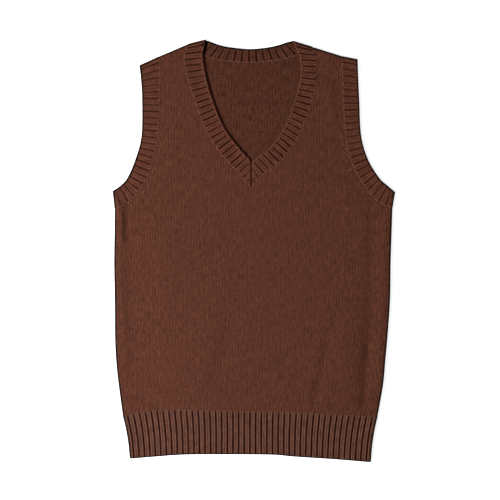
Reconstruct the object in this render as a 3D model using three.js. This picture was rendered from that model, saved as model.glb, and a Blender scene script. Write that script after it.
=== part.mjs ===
// A knitted V-neck sweater vest that lies flat, front up, with its neck towards +Y.
// Lengths are in millimetres: X runs across the chest, Y up the garment, Z up from the surface.
// The back is the lower layer and the front lies on it. They meet along the folded outline.

import * as THREE from 'three';

// Driving dimensions
const CLOTH = 2.0; // wall of the plain knit
const RIB_WALL = 1.9; // wall of the ribbing in its grooves
const RIB_HEIGHT = 1.1; // how far a rib stands above its grooves
const UNDER_RIB_WALL = 2.4; // wall of the ribbing that lies face down, without relief
const SEAM_GAP = 0.3; // space between two pieces at a seam
const BACK_NECK_GAP = 0.4; // the same where the seam slants over the turn of a shoulder
const FOLD_RADIUS = 3.15; // outside radius where the cloth turns from front to back
const FRONT_LEVEL = 4.7; // face of the front above the surface, where it lies on the back
const EDGE_SWELL = 1.6; // how much higher the front is beside a fold of the outline
const EDGE_SWELL_WIDTH = 14; // how far that swelling reaches inwards
const CENTRE_X = -4.2; // centre line of the front, through the point of the V
const HEM_DRAW_IN = 1.9; // how far the sides of the hem bend inwards between its two edges
const HEM_RIBS = 44;
const ARMBAND_RIBS = 24; // on the front half of one armband
const NECK_SIDE_RIBS = 26; // on one side of the V
const NECK_BACK_RIBS = 16;
const CHEST_HALF_WIDTH = 213; // from a side fold to the centre line

const FRONT = 1;
const BACK = -1;
const SIDE_SAMPLES = 40; // straight steps along a side fold
const SEAM_SAMPLES = 120; // the same along the hem's seam
const SLOPE_STEP = 0.5; // how far apart two places are whose heights give a slope

// A table with named columns: each row of numbers becomes an object.
function table(columns, rows) {
  const names = columns.split(' ');
  return rows.map((row) => Object.fromEntries(names.map((name, i) => [name, row[i]])));
}

// Side folds, from the seam above the hem to the seam of the armband.
const LEFT_SIDE = table('x y', [
  [-204.6, -258.0],
  [-211.2, -208.8],
  [-215.1, -171.2],
  [-216.8, -133.7],
  [-217.2, -77.3],
  [-218.2, -21.0],
  [-217.5, 35.4],
  [-217.3, 65.1],
]);
const RIGHT_SIDE = table('x y', [
  [193.0, -259.0],
  [201.8, -208.8],
  [205.3, -171.2],
  [208.7, -133.7],
  [212.6, -77.3],
  [213.5, -21.0],
  [215.3, 35.4],
  [216.4, 66.7],
]);

// Ribbed bands. A row is one line across the band, from its free edge to its seam.
const HEM = table('edgeX edgeY seamX seamY', [
  [-193.8, -323.8, -204.6, -258.0],
  [-154.0, -320.4, -160.9, -249.5],
  [-108.0, -317.3, -111.7, -247.9],
  [-37.0, -317.0, -37.0, -250.0],
  [29.5, -317.6, 30.0, -251.6],
  [61.5, -320.3, 63.8, -252.1],
  [127.0, -324.6, 133.3, -255.7],
  [182.6, -329.2, 193.0, -259.0],
]);
const LEFT_ARMBAND = table('edgeX edgeY seamX seamY', [
  [-220.2, 93.3, -217.3, 65.1],
  [-209.0, 101.0, -194.0, 78.0],
  [-197.7, 113.6, -175.5, 100.0],
  [-185.4, 141.8, -160.5, 132.5],
  [-175.7, 179.3, -151.8, 176.5],
  [-174.7, 235.7, -147.9, 235.7],
  [-176.5, 268.0, -147.8, 274.0],
  [-178.8, 288.9, -148.3, 303.1],
]);
const RIGHT_ARMBAND = table('edgeX edgeY seamX seamY', [
  [220.2, 91.7, 216.4, 66.7],
  [208.0, 102.3, 193.0, 78.5],
  [196.0, 113.6, 177.5, 96.5],
  [178.8, 141.8, 156.5, 131.6],
  [167.8, 179.3, 145.0, 175.5],
  [164.7, 235.7, 140.8, 236.5],
  [163.0, 273.2, 139.2, 277.0],
  [162.1, 298.6, 138.5, 303.4],
]);

// The V runs from the mitred point up to a shoulder. The first row lies past the mitre.
const LEFT_NECK = table('edgeX edgeY seamX seamY', [
  [15.2, 117.6, -4.2, 100.3],
  [-3.7, 139.0, -23.1, 121.7],
  [-31.1, 170.0, -51.4, 153.8],
  [-50.9, 201.3, -74.1, 189.7],
  [-68.6, 248.2, -93.3, 240.2],
  [-77.5, 285.0, -105.0, 281.0],
  [-79.1, 306.0, -107.4, 303.0],
  [-75.2, 329.2, -101.6, 322.9],
]);
const RIGHT_NECK = table('edgeX edgeY seamX seamY', [
  [-21.2, 119.9, -4.2, 100.3],
  [-3.7, 139.0, 13.3, 119.4],
  [28.4, 164.8, 48.0, 147.6],
  [51.4, 201.3, 73.7, 189.0],
  [67.5, 248.2, 92.0, 243.1],
  [73.4, 281.0, 97.5, 279.0],
  [70.5, 304.0, 97.2, 302.0],
  [60.0, 327.7, 91.3, 318.1],
]);
const BACK_NECK = table('edgeX edgeY seamX seamY', [
  [-75.2, 329.2, -101.6, 322.9],
  [-64.5, 325.1, -84.0, 309.5],
  [-50.0, 320.3, -62.0, 301.0],
  [-31.1, 317.1, -36.0, 297.0],
  [-6.0, 315.0, -6.0, 295.5],
  [19.0, 317.1, 24.0, 297.2],
  [37.8, 321.0, 49.0, 301.6],
  [50.3, 325.2, 70.0, 308.0],
  [60.0, 327.7, 91.3, 318.1],
]);

// Folds and swellings of the front: a soft ridge (or trough, below zero) along each line.
const FOLDS = table('x0 y0 x1 y1 width height', [
  [-188, -243, 178, -249, 11, 1.9], // the body hangs over the ribbing
  [-208, 66, -203, -70, 7, -1.3], // beside the left side, under the armband
  [-155, -62, -150, -205, 17, 1.6],
  [197, 40, 198, -215, 9, 1.5], // along the right side
  [150, 55, 146, -200, 18, 1.4],
  [178, 60, 171, -212, 6, -0.4],
  [171, -212, 158, -236, 6, -0.9],
  [119, -171, 93, -229, 8, 1.3],
  [-33, -124, -64, -187, 20, 0.9],
  [93, 278, 119, 270, 7, 1.2], // at the right shoulder
  [122, 251, 122, 204, 9, 0.8],
  [139, 112, 142, 80, 12, 0.9],
  [-96, 312, -80, 300, 18, 0.8], // the neckband lies over its own back half
  [90, 308, 74, 300, 18, 0.8],
]);

// Curves and bands

// A smooth curve through the points of a table.
function smoothCurve(points) {
  return new THREE.CatmullRomCurve3(points, false, 'catmullrom', 0.5);
}

// A band between its free edge and its seam. Both curves share one parameter, and
// lengths along the band are measured midway between them.
function makeBand(rows, drawIn = 0) {
  const edgePoints = rows.map((row) => new THREE.Vector3(row.edgeX, row.edgeY, 0));
  const seamPoints = rows.map((row) => new THREE.Vector3(row.seamX, row.seamY, 0));
  const middlePoints = edgePoints.map((point, i) => point.clone().lerp(seamPoints[i], 0.5));
  const band = {
    edge: smoothCurve(edgePoints),
    seam: smoothCurve(seamPoints),
    middle: smoothCurve(middlePoints),
    drawIn,
  };
  band.length = band.middle.getLength();
  return band;
}

// The point of a band at a length along it, and at a share of the way from its seam to its edge.
function bandPoint(band, along, across) {
  const t = band.middle.getUtoTmapping(0, along);
  const point = band.seam.getPoint(t).lerp(band.edge.getPoint(t), across);
  const towardsStart = 1 - (2 * along) / band.length;
  point.x += band.drawIn * towardsStart * 4 * across * (1 - across);
  return point;
}

const hem = makeBand(HEM, HEM_DRAW_IN);
const leftArmband = makeBand(LEFT_ARMBAND);
const rightArmband = makeBand(RIGHT_ARMBAND);
const leftNeck = makeBand(LEFT_NECK);
const rightNeck = makeBand(RIGHT_NECK);
const backNeck = makeBand(BACK_NECK);

// The folded outline: up both sides from the hem to the underarm, and along both shoulders.
function sideFold(side, hemEnd, armband) {
  const hemSide = [1, 0.75, 0.5, 0.25].map((across) => bandPoint(hem, hemEnd, across));
  const bodySide = sideCurve(side).getPoints(SIDE_SAMPLES);
  return [...hemSide, ...bodySide, armband.edge.getPoint(0)];
}

function sideCurve(side) {
  return smoothCurve(side.map((row) => new THREE.Vector3(row.x, row.y, 0)));
}

function shoulderFold(armband, neck) {
  return [armband.edge, armband.seam, neck.seam, neck.edge].map((curve) => curve.getPoint(1));
}

const outlineFolds = [
  sideFold(LEFT_SIDE, 0, leftArmband),
  sideFold(RIGHT_SIDE, hem.length, rightArmband),
  shoulderFold(leftArmband, leftNeck),
  shoulderFold(rightArmband, rightNeck),
];

// How far a point of the layout is from the folded outline, and the way out across it.
function nearestFold(x, y) {
  const point = new THREE.Vector3(x, y, 0);
  const onLine = new THREE.Vector3();
  let nearest = { distance: Infinity };
  for (const fold of outlineFolds) {
    for (let i = 1; i < fold.length; i++) {
      const line = new THREE.Line3(fold[i - 1], fold[i]);
      line.closestPointToPoint(point, true, onLine);
      const distance = onLine.distanceTo(point);
      if (distance < nearest.distance) {
        nearest = { distance, line, way: onLine.clone().sub(point) };
      }
    }
  }
  const along = nearest.line.delta(new THREE.Vector3());
  const across = new THREE.Vector3(along.y, -along.x, 0);
  if (across.dot(nearest.line.start) < 0) across.negate();
  const out = nearest.distance > 0.01 ? nearest.way : across;
  return { distance: nearest.distance, out: out.normalize() };
}

// Layers of cloth

// Height of the front's face above the surface, past the turn at the outline.
function frontHeight(x, y, foldDistance) {
  const inwards = Math.max(foldDistance - FOLD_RADIUS, 0) / EDGE_SWELL_WIDTH;
  let height = FRONT_LEVEL + EDGE_SWELL * Math.exp(-inwards * inwards);
  for (const fold of FOLDS) {
    const alongX = fold.x1 - fold.x0;
    const alongY = fold.y1 - fold.y0;
    const lengthSquared = alongX * alongX + alongY * alongY;
    const share = ((x - fold.x0) * alongX + (y - fold.y0) * alongY) / lengthSquared;
    const clamped = Math.min(Math.max(share, 0), 1);
    const away = Math.hypot(x - fold.x0 - clamped * alongX, y - fold.y0 - clamped * alongY);
    height += fold.height * Math.exp(-((away / fold.width) ** 2));
  }
  return height;
}

// The place on a layer's outer face over a point of the layout, and the face's normal there.
// At the outline the face turns through a quarter circle to mid-height, where a seam may be.
function onLayer(point, layer, seamRise = 0) {
  const fold = nearestFold(point.x, point.y);
  const height = frontHeight(point.x, point.y, fold.distance);
  const reach = layer === FRONT ? height - FOLD_RADIUS : FOLD_RADIUS;
  if (fold.distance < FOLD_RADIUS) {
    const outwards = 1 - fold.distance / FOLD_RADIUS;
    const upwards = Math.sqrt(1 - outwards * outwards);
    const rise = Math.max(reach * upwards, seamRise);
    const normal = fold.out.clone().multiplyScalar(outwards);
    normal.z = layer * upwards;
    return { place: place(point, FOLD_RADIUS + layer * rise), normal };
  }
  if (layer === BACK) {
    return { place: place(point, 0), normal: new THREE.Vector3(0, 0, -1) };
  }
  const right = nearestFold(point.x + SLOPE_STEP, point.y).distance;
  const up = nearestFold(point.x, point.y + SLOPE_STEP).distance;
  const slopeX = (frontHeight(point.x + SLOPE_STEP, point.y, right) - height) / SLOPE_STEP;
  const slopeY = (frontHeight(point.x, point.y + SLOPE_STEP, up) - height) / SLOPE_STEP;
  const normal = new THREE.Vector3(-slopeX, -slopeY, 1).normalize();
  return { place: place(point, height), normal };
}

function place(point, z) {
  return new THREE.Vector3(point.x, point.y, z);
}

// Meshes

// A closed body from its points and triangles, turned so that its faces point outwards.
function closedGeometry(points, triangles) {
  let volume = 0;
  for (const [a, b, c] of triangles) {
    volume += points[a].clone().cross(points[b]).dot(points[c]);
  }
  const outward = volume > 0 ? triangles : triangles.map(([a, b, c]) => [a, c, b]);
  const geometry = new THREE.BufferGeometry().setFromPoints(points);
  geometry.setIndex(outward.flat());
  geometry.computeVertexNormals();
  return geometry;
}

// Two triangles for the four corners of a face, in order round it, split the shorter way
// so that the facing walls of two pieces at a seam are split alike.
function quad(points, a, b, c, d) {
  if (points[a].distanceTo(points[c]) <= points[b].distanceTo(points[d])) {
    return [[a, b, c], [a, c, d]];
  }
  return [[a, b, d], [b, c, d]];
}

// Ribbed strips

// Length along the layout that a length of cloth reaches when it starts on a fold.
function insetFromFold(cloth) {
  const quarter = (FOLD_RADIUS * Math.PI) / 2;
  if (cloth < quarter) return FOLD_RADIUS * (1 - Math.cos(cloth / FOLD_RADIUS));
  return FOLD_RADIUS + cloth - quarter;
}

const FOLD_TAKES = FOLD_RADIUS * (Math.PI / 2 - 1); // cloth that a quarter turn takes up
const RIB_STEPS = table('phase height', [
  [0, 0],
  [0.28, 1],
  [0.72, 1],
]);
const FOLD_STEPS = table('phase height', [
  [0, 0],
  [0.23, 0.9],
  [0.5, 1],
  [0.77, 0.9],
]);
const PLAIN_STEPS = table('phase height', [[0, 0]]);

// Lines across one run of a band, with the height of the ribbing's relief on each.
// A run starts or ends on a fold of the outline where its flags say so.
function runLines({ band, layer, ribs, foldStart, foldEnd, relief, clip }) {
  const folds = Number(foldStart) + Number(foldEnd);
  const cloth = band.length + folds * FOLD_TAKES;
  const pitch = cloth / ribs;
  const lines = [];
  const addLine = (length, height) => {
    const fromStart = foldStart ? insetFromFold(length) : length;
    const fromEnd = foldEnd ? insetFromFold(cloth - length) : cloth - length;
    const along = length < cloth / 2 ? fromStart : band.length - fromEnd;
    lines.push({ band, along, layer, clip, ...reliefOn(relief, height) });
  };
  for (let rib = 0; rib < ribs; rib++) {
    const atFold = rib === 0 || rib === ribs - 1;
    const betweenFolds = relief === 'none' ? PLAIN_STEPS : RIB_STEPS;
    const steps = atFold ? FOLD_STEPS : betweenFolds;
    const flattened = atFold && relief === 'inside' ? 0 : 1; // no room for ribs inside the turn
    for (const step of steps) addLine((rib + step.phase) * pitch, step.height * flattened);
  }
  addLine(cloth, 0);
  return lines;
}

// Relief of a line: ribs on the face, ribs on the inside, or a plain wall.
function reliefOn(relief, height) {
  if (relief === 'face') return { raise: height * RIB_HEIGHT, wall: RIB_WALL };
  if (relief === 'inside') return { raise: 0, wall: RIB_WALL + height * RIB_HEIGHT };
  return { raise: 0, wall: UNDER_RIB_WALL };
}

const FACE_ACROSS = table('across relief', [
  [0, 0.45],
  [0.1, 1],
  [0.9, 1],
  [1, 0.45],
]);
const HEM_ACROSS = table('across relief', [
  [0, 0.45],
  [0.07, 1],
  [0.5, 1],
  [0.93, 1],
  [1, 0.45],
]);

// The ring of points round the wall at one line across a strip.
function ringAt(line, seamRise) {
  const reach = line.clip ? line.clip(line) : 1;
  const steps = line.band === hem ? HEM_ACROSS : FACE_ACROSS;
  const face = steps.map((step) => {
    const { place: onFace, normal } = faceAt(line, step.across * reach, seamRise);
    return onFace.addScaledVector(normal, line.raise * step.relief);
  });
  const inside = [1, 0].map((across) => {
    const { place: onFace, normal } = faceAt(line, across * reach, seamRise);
    return onFace.addScaledVector(normal, -line.wall);
  });
  return [...face, ...inside];
}

function faceAt(line, across, seamRise) {
  return onLayer(bandPoint(line.band, line.along, across), line.layer, seamRise);
}

// A strip of ribbing through its lines, closed at both ends, where a seam may be.
function ribbedStrip(lines, seamAtEnds) {
  const last = lines.length - 1;
  const rings = lines.map((line, i) => {
    const isEnd = i === 0 || i === last;
    return ringAt(line, seamAtEnds && isEnd ? SEAM_GAP / 2 : 0);
  });
  const points = rings.flat();
  const size = rings[0].length;
  const triangles = [];
  for (let i = 0; i < last; i++) {
    for (let j = 0; j < size; j++) {
      const next = (j + 1) % size;
      const here = i * size;
      const there = here + size;
      triangles.push(...quad(points, here + j, there + j, there + next, here + next));
    }
  }
  for (let j = 1; j < size - 1; j++) {
    triangles.push([0, j, j + 1]);
    triangles.push([last * size, last * size + j + 1, last * size + j]);
  }
  return closedGeometry(points, triangles);
}

// The hem: a straight run of ribbing on each layer, folded at both sides.
function hemStrip(layer, relief) {
  const run = { band: hem, layer, ribs: HEM_RIBS, foldStart: true, foldEnd: true, relief };
  return ribbedStrip(runLines(run), true);
}

// An armband: up the front from the underarm seam, over the shoulder and down the back.
function armbandStrip(band) {
  const folds = { foldStart: true, foldEnd: true };
  const front = runLines({ band, layer: FRONT, ribs: ARMBAND_RIBS, relief: 'face', ...folds });
  const back = runLines({ band, layer: BACK, ribs: ARMBAND_RIBS, relief: 'none', ...folds });
  back.reverse();
  return ribbedStrip([...front, ...back.slice(1)], true);
}

// Share of a line that is left when the mitre at the point of the V cuts it off.
function cutAtMitre(side) {
  return (line) => {
    const seam = bandPoint(line.band, line.along, 0);
    const edge = bandPoint(line.band, line.along, 1);
    const mitreX = CENTRE_X + (side * SEAM_GAP) / 2;
    const pastMitre = side * (edge.x - mitreX) < 0;
    return pastMitre ? (mitreX - seam.x) / (edge.x - seam.x) : 1;
  };
}

// The neckband: from the mitre up the left of the V, over the shoulder, round the back of the
// neck with its inside up, and down the right of the V to the mitre again.
function neckbandStrip() {
  const side = { layer: FRONT, ribs: NECK_SIDE_RIBS, relief: 'face', foldEnd: true };
  const left = runLines({ band: leftNeck, foldStart: false, clip: cutAtMitre(-1), ...side });
  const right = runLines({ band: rightNeck, foldStart: false, clip: cutAtMitre(1), ...side });
  const back = runLines({
    band: backNeck,
    layer: BACK,
    ribs: NECK_BACK_RIBS,
    foldStart: true,
    foldEnd: true,
    relief: 'inside',
  });
  right.reverse();
  return ribbedStrip([...left.slice(1), ...back.slice(1, -1), ...right.slice(0, -1)], false);
}

// Panels of plain knit

// Places of a panel's columns, measured from its side towards its centre.
const TURN = [0, 0.29 * FOLD_RADIUS, FOLD_RADIUS];
const FRONT_COLUMNS = [...TURN, 9, 17, 30, 44, 64, 90, 122, 156, CHEST_HALF_WIDTH];
const BACK_COLUMNS = [...TURN, 14, 28, 42, 60, 100, 150, CHEST_HALF_WIDTH];
const UNDERARM_CENTRE_Y = 62; // centre of the row that starts at the underarm
const HEM_FOLLOWS = 90; // how far up the rows still follow the curve of the hem seam
const SEAM_SLANT = 0.78; // a step along a seam moves this much away from the fold at its end

// A point on a band's seam, carried on across the band until it is the seam's gap away.
function besideSeam(band, along, gap = SEAM_GAP) {
  const t = band.seam.getUtoTmapping(0, along);
  const seam = band.seam.getPoint(t);
  const tangent = band.seam.getTangent(t);
  const away = seam.clone().sub(band.edge.getPoint(t)).normalize();
  const squareness = Math.abs(away.x * tangent.y - away.y * tangent.x);
  return seam.addScaledVector(away, gap / squareness);
}

// Lengths along a seam for the rows that pass through the turn at its end, on the fold.
const TURN_STEPS = TURN.map((inset) => inset / SEAM_SLANT);
const TURN_REACH = TURN_STEPS.at(-1) + 1;

const LEAST_STEP = 0.6; // share of a step that a stretch must still have room for

// Lengths along an armhole seam for a panel's rows, with steps given in short stretches.
function armholeSteps(end, stretches) {
  const steps = [...TURN_STEPS];
  for (const { until, step } of stretches) {
    const limit = Math.min(until, end);
    while (steps.at(-1) + LEAST_STEP * step < limit) steps.push(steps.at(-1) + step);
  }
  steps[steps.length - 1] = Math.min(steps.at(-1), end);
  return steps;
}

// The rows of one half of a panel, each from its outer end to the centre or the neck.
function halfPanelRows({ side, sideRows, armband, neck, neckBegins, stretches, columns }) {
  const ends = [];
  const curve = sideCurve(side);
  const hemCentreY = hemSeamY(CENTRE_X) + SEAM_GAP;
  for (let i = 0; i < sideRows; i++) {
    const share = i / sideRows;
    const y = THREE.MathUtils.lerp(hemCentreY, UNDERARM_CENTRE_Y, share);
    ends.push({ outer: curve.getPoint(share), inner: new THREE.Vector3(CENTRE_X, y, 0) });
  }
  const armholeEnd = armband.seam.getLength();
  const lastRow = armholeEnd - TURN_REACH;
  for (const along of armholeSteps(lastRow, stretches)) {
    const outer = besideSeam(armband, along);
    const y = THREE.MathUtils.lerp(UNDERARM_CENTRE_Y, neck.lowest.y, along / neckBegins);
    const pastNeck = (along - neckBegins) / (lastRow - neckBegins);
    const belowNeck = new THREE.Vector3(CENTRE_X, y, 0);
    const besideNeck = neck.at(Math.max(pastNeck, 0) * (neck.length - TURN_REACH));
    ends.push({ outer, inner: pastNeck > 0 ? besideNeck : belowNeck });
  }
  for (const step of [...TURN_STEPS].reverse()) {
    ends.push({ outer: besideSeam(armband, armholeEnd - step), inner: neck.at(neck.length - step) });
  }
  return ends.map(({ outer, inner }) => rowPoints(outer, inner, columns));
}

// One row of a panel. Its columns keep their distance from the side through the turn there.
function rowPoints(outer, inner, columns) {
  const width = outer.distanceTo(inner);
  const stretch = (width - FOLD_RADIUS) / (CHEST_HALF_WIDTH - FOLD_RADIUS);
  const foot = hemSeamY(outer.x);
  return columns.map((column) => {
    const inTurn = column <= FOLD_RADIUS;
    const inset = inTurn ? column : FOLD_RADIUS + (column - FOLD_RADIUS) * stretch;
    const point = outer.clone().lerp(inner, inset / width);
    const rise = (outer.y - foot) / HEM_FOLLOWS;
    const follow = Math.max(1 - rise, 0) ** 2;
    const line = THREE.MathUtils.lerp(foot, hemSeamY(CENTRE_X), inset / width);
    point.y += follow * (hemSeamY(point.x) - line) + (rise <= 0 ? SEAM_GAP : 0);
    return point;
  });
}

// Height of the hem seam at a place across the garment.
function hemSeamY(x) {
  const points = hem.seam.getPoints(SEAM_SAMPLES);
  const after = points.findIndex((point) => point.x >= x);
  if (after <= 0) return after === 0 ? points[0].y : points.at(-1).y;
  const before = points[after - 1];
  const share = (x - before.x) / (points[after].x - before.x);
  return THREE.MathUtils.lerp(before.y, points[after].y, share);
}

// A closed wall of plain knit under the rows of both halves, which join at the centre line.
function panelWall(leftRows, rightRows, layer) {
  const points = [];
  const known = new Map();
  const cornerOf = (point) => {
    const key = `${point.x.toFixed(3)} ${point.y.toFixed(3)}`;
    if (!known.has(key)) known.set(key, points.push(point) - 1);
    return known.get(key);
  };
  const faces = [];
  for (const rows of [leftRows, rightRows.map((row) => [...row].reverse())]) {
    const grid = rows.map((row) => row.map(cornerOf));
    for (let i = 1; i < grid.length; i++) {
      for (let j = 1; j < grid[i].length; j++) {
        const below = grid[i - 1];
        const here = grid[i];
        faces.push(...quad(points, below[j - 1], below[j], here[j], here[j - 1]));
      }
    }
  }
  return thicken(points, faces, layer);
}

// Gives a layout of faces its height on a layer and the thickness of the cloth.
function thicken(points, faces, layer) {
  const frames = points.map((point) => onLayer(point, layer, SEAM_GAP / 2));
  const outer = frames.map((frame) => frame.place);
  const inner = frames.map((frame) => frame.place.clone().addScaledVector(frame.normal, -CLOTH));
  const wall = [...outer, ...inner];
  const count = points.length;
  const triangles = [];
  const edges = new Set(faces.flatMap(([a, b, c]) => [`${a} ${b}`, `${b} ${c}`, `${c} ${a}`]));
  for (const [a, b, c] of faces) {
    triangles.push([a, b, c], [c + count, b + count, a + count]);
    for (const [from, to] of [[a, b], [b, c], [c, a]]) {
      if (!edges.has(`${to} ${from}`)) {
        triangles.push(...quad(wall, to, from, from + count, to + count));
      }
    }
  }
  return closedGeometry(wall, triangles);
}

// The front is cut down to the point of the V.
function frontPanel() {
  const stretches = table('until step', [
    [125, 7.2],
    [185, 13],
    [Infinity, 6],
  ]);
  const tipY = leftNeck.seam.getPoint(0).y - SEAM_GAP / Math.SQRT1_2;
  const lowest = new THREE.Vector3(CENTRE_X, tipY, 0);
  const half = (side, armband, neckband) => {
    const at = (along) => besideSeam(neckband, along);
    const neck = { lowest, at, length: neckband.seam.getLength() };
    const shape = { sideRows: 11, neckBegins: 52, stretches, columns: FRONT_COLUMNS };
    return halfPanelRows({ side, armband, neck, ...shape });
  };
  const left = half(LEFT_SIDE, leftArmband, leftNeck);
  return panelWall(left, half(RIGHT_SIDE, rightArmband, rightNeck), FRONT);
}

// The back reaches up to the shallow curve under the back of the neckband.
function backPanel() {
  const stretches = table('until step', [
    [125, 7.2],
    [205, 20],
    [Infinity, 4.5],
  ]);
  const lengths = backNeck.seam.getLengths();
  const middle = lengths[(lengths.length - 1) / 2];
  const lowest = besideSeam(backNeck, middle).setX(CENTRE_X);
  const half = (side, armband, way, length) => {
    const at = (along) => besideSeam(backNeck, middle + way * along, BACK_NECK_GAP);
    const shape = { sideRows: 8, neckBegins: 208, stretches, columns: BACK_COLUMNS };
    return halfPanelRows({ side, armband, neck: { lowest, at, length }, ...shape });
  };
  const left = half(LEFT_SIDE, leftArmband, -1, middle);
  return panelWall(left, half(RIGHT_SIDE, rightArmband, 1, lengths.at(-1) - middle), BACK);
}

// The garment
const plainKnit = { color: '#5b3528', roughness: 0.92, metalness: 0 };
const ribKnit = { color: '#57362b', roughness: 0.94, metalness: 0 };

const pieces = [
  ['front_panel', frontPanel(), plainKnit],
  ['back_panel', backPanel(), plainKnit],
  ['front_hem_rib', hemStrip(FRONT, 'face'), ribKnit],
  ['back_hem_rib', hemStrip(BACK, 'none'), ribKnit],
  ['neckband', neckbandStrip(), ribKnit],
  ['armband_left', armbandStrip(leftArmband), ribKnit],
  ['armband_right', armbandStrip(rightArmband), ribKnit],
];

const group = new THREE.Group();
for (const [name, geometry, finish] of pieces) {
  const mesh = new THREE.Mesh(geometry, new THREE.MeshStandardMaterial(finish));
  mesh.name = name;
  group.add(mesh);
}

export default group;
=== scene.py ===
"""A knitted V-neck sweater vest that lies flat, front up, and is seen from straight above.

Tables and formulas are in millimetres: X across the chest, Y up the garment, Z up from the
surface. Lengths become metres where a mesh is made. Floor, lights and camera are in metres.
"""

import bpy
import numpy as np
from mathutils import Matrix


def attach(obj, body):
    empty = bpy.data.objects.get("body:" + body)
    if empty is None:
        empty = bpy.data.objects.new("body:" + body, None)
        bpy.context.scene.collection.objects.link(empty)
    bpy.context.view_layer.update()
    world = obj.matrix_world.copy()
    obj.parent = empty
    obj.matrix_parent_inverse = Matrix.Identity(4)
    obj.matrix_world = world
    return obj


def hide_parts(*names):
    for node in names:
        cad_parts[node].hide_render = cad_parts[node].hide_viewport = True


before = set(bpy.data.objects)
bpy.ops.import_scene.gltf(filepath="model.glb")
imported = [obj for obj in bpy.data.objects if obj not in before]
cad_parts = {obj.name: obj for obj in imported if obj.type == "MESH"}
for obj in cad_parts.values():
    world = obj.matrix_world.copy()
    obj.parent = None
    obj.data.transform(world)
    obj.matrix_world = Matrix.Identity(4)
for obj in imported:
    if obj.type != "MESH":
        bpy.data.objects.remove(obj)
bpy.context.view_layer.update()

MM = 0.001


# Back panel
# The plain knit back lies on the surface, its smooth face down, and shows its inside in the V.
# It was knitted to shape on a flat machine, from its ribbed hem up to a shallow neck curve.

FRONT, BACK = 1, -1
FOLD_RADIUS = 3.15  # outside radius where the cloth turns from front to back
FOLD_TAKES = FOLD_RADIUS * (np.pi / 2 - 1)  # cloth that a quarter turn takes up
FRONT_LEVEL = 4.7  # face of the front where it lies on the back
EDGE_SWELL = 1.6  # how much higher the front is beside a fold of the outline
EDGE_SWELL_WIDTH = 14
CLOTH = 2.0  # wall of the plain knit
WALES = 178  # columns of stitches across the chest
COURSE = 1.9  # height of a row of stitches

# Side folds from the hem to the underarm: x, y.
LEFT_SIDE = [
    (-204.6, -258.0), (-211.2, -208.8), (-215.1, -171.2), (-216.8, -133.7),
    (-217.2, -77.3), (-218.2, -21.0), (-217.5, 35.4), (-217.3, 65.1),
]
RIGHT_SIDE = [
    (193.0, -259.0), (201.8, -208.8), (205.3, -171.2), (208.7, -133.7),
    (212.6, -77.3), (213.5, -21.0), (215.3, 35.4), (216.4, 66.7),
]

# Lines across the ribbed bands, from free edge to seam: edge x, edge y, seam x, seam y.
HEM = [
    (-193.8, -323.8, -204.6, -258.0), (-154.0, -320.4, -160.9, -249.5),
    (-108.0, -317.3, -111.7, -247.9), (-37.0, -317.0, -37.0, -250.0),
    (29.5, -317.6, 30.0, -251.6), (61.5, -320.3, 63.8, -252.1),
    (127.0, -324.6, 133.3, -255.7), (182.6, -329.2, 193.0, -259.0),
]
LEFT_ARMBAND = [
    (-220.2, 93.3, -217.3, 65.1), (-209.0, 101.0, -194.0, 78.0),
    (-197.7, 113.6, -175.5, 100.0), (-185.4, 141.8, -160.5, 132.5),
    (-175.7, 179.3, -151.8, 176.5), (-174.7, 235.7, -147.9, 235.7),
    (-176.5, 268.0, -147.8, 274.0), (-178.8, 288.9, -148.3, 303.1),
]
RIGHT_ARMBAND = [
    (220.2, 91.7, 216.4, 66.7), (208.0, 102.3, 193.0, 78.5),
    (196.0, 113.6, 177.5, 96.5), (178.8, 141.8, 156.5, 131.6),
    (167.8, 179.3, 145.0, 175.5), (164.7, 235.7, 140.8, 236.5),
    (163.0, 273.2, 139.2, 277.0), (162.1, 298.6, 138.5, 303.4),
]
LEFT_NECK = [
    (15.2, 117.6, -4.2, 100.3), (-3.7, 139.0, -23.1, 121.7),
    (-31.1, 170.0, -51.4, 153.8), (-50.9, 201.3, -74.1, 189.7),
    (-68.6, 248.2, -93.3, 240.2), (-77.5, 285.0, -105.0, 281.0),
    (-79.1, 306.0, -107.4, 303.0), (-75.2, 329.2, -101.6, 322.9),
]
RIGHT_NECK = [
    (-21.2, 119.9, -4.2, 100.3), (-3.7, 139.0, 13.3, 119.4),
    (28.4, 164.8, 48.0, 147.6), (51.4, 201.3, 73.7, 189.0),
    (67.5, 248.2, 92.0, 243.1), (73.4, 281.0, 97.5, 279.0),
    (70.5, 304.0, 97.2, 302.0), (60.0, 327.7, 91.3, 318.1),
]
BACK_NECK = [
    (-75.2, 329.2, -101.6, 322.9), (-64.5, 325.1, -84.0, 309.5),
    (-50.0, 320.3, -62.0, 301.0), (-31.1, 317.1, -36.0, 297.0),
    (-6.0, 315.0, -6.0, 295.5), (19.0, 317.1, 24.0, 297.2),
    (37.8, 321.0, 49.0, 301.6), (50.3, 325.2, 70.0, 308.0),
    (60.0, 327.7, 91.3, 318.1),
]

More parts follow.
